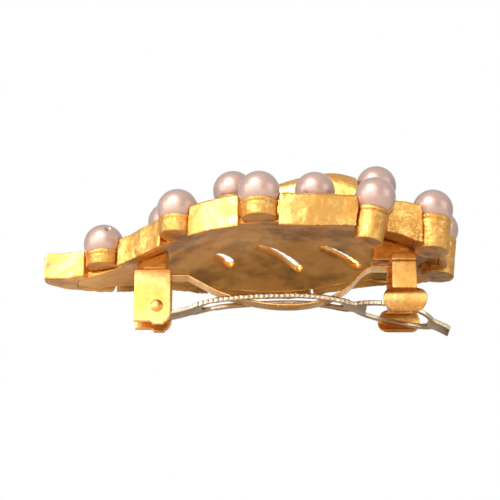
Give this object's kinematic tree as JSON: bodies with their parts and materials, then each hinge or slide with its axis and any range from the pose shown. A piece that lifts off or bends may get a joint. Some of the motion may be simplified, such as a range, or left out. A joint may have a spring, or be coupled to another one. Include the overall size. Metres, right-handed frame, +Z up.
{
  "type": "hair barrette",
  "caption": "Gilt leaf-shaped hair barrette with cupped faux pearls on a French clip: hinged slotted clasp arm, bowed tension bar and sprung two-prong catch.",
  "frame": {"origin": "middle of the bottom of the box round the closed barrette, level with the feet of the hinge ears", "axes": "+Z up through the pearls, +X along the clip from the leaf's tip and hinge towards the catch and the finger tab, -Y the side that carries the near prong"},
  "size_m": [0.0838, 0.0492, 0.0337],
  "materials": {
    "gilt_casting": "satin antique gold plate over a rough casting",
    "gilt_clip": "smooth satin gold plate",
    "nickel_arm": "polished pale nickel plate, warm in tone",
    "pearl": "rosy taupe pearlescent lacquer"
  },
  "bodies": {
    "ornament": {"catch_boss": "gilt_casting", "catch_plate": "gilt_clip", "catch_rivet": "gilt_clip", "centre_cup_1": "gilt_casting", "centre_cup_2": "gilt_casting", "centre_cup_3": "gilt_casting", "centre_cup_4": "gilt_casting", "centre_cup_5": "gilt_casting", "centre_cup_6": "gilt_casting", "centre_cup_7": "gilt_casting", "centre_pearl_1": "pearl", "centre_pearl_2": "pearl", "centre_pearl_3": "pearl", "centre_pearl_4": "pearl", "centre_pearl_5": "pearl", "centre_pearl_6": "pearl", "centre_pearl_7": "pearl", "centre_petal": "gilt_casting", "hinge_boss": "gilt_casting", "hinge_bracket": "gilt_clip", "hinge_pin": "gilt_clip", "hinge_rivet": "gilt_clip", "leaf_plate": "gilt_casting", "rim_cup_1": "gilt_casting", "rim_cup_2": "gilt_casting", "rim_cup_3": "gilt_casting", "rim_cup_4": "gilt_casting", "rim_cup_5": "gilt_casting", "rim_cup_6": "gilt_casting", "rim_pearl_1": "pearl", "rim_pearl_2": "pearl", "rim_pearl_3": "pearl", "rim_pearl_4": "pearl", "rim_pearl_5": "pearl", "rim_pearl_6": "pearl", "rim_wall_1": "gilt_casting", "rim_wall_2": "gilt_casting", "rim_wall_3": "gilt_casting", "rim_wall_4": "gilt_casting", "rim_wall_5": "gilt_casting", "rim_wall_6": "gilt_casting", "rim_wall_7": "gilt_casting", "rim_wall_8": "gilt_casting", "rim_wall_9": "gilt_casting", "tension_bar": "gilt_clip"},
    "arm": {"clasp_arm": "nickel_arm"},
    "catch_near": {"near_prong": "gilt_clip"},
    "catch_far": {"far_prong": "gilt_clip"}
  },
  "joints": [
    {"name": "arm_hinge", "type": "hinge", "parent": "ornament", "child": "arm", "pos_m": [-0.01916, 0.00095, 0.00479], "axis": [0, 1, 0], "range_deg": [0, 80]},
    {"name": "near_prong_flex", "type": "hinge", "parent": "ornament", "child": "catch_near", "pos_m": [0.02934, -0.00585, 0.01259], "axis": [-1, 0, 0], "range_deg": [0, 5], "stiffness_Nm_per_rad": 0.2},
    {"name": "far_prong_flex", "type": "hinge", "parent": "ornament", "child": "catch_far", "pos_m": [0.02934, 0.00775, 0.01259], "axis": [1, 0, 0], "range_deg": [0, 5], "stiffness_Nm_per_rad": 0.2}
  ],
  "couplings": [
    {"joint": "far_prong_flex", "follows": "near_prong_flex", "ratio": 1}
  ]
}
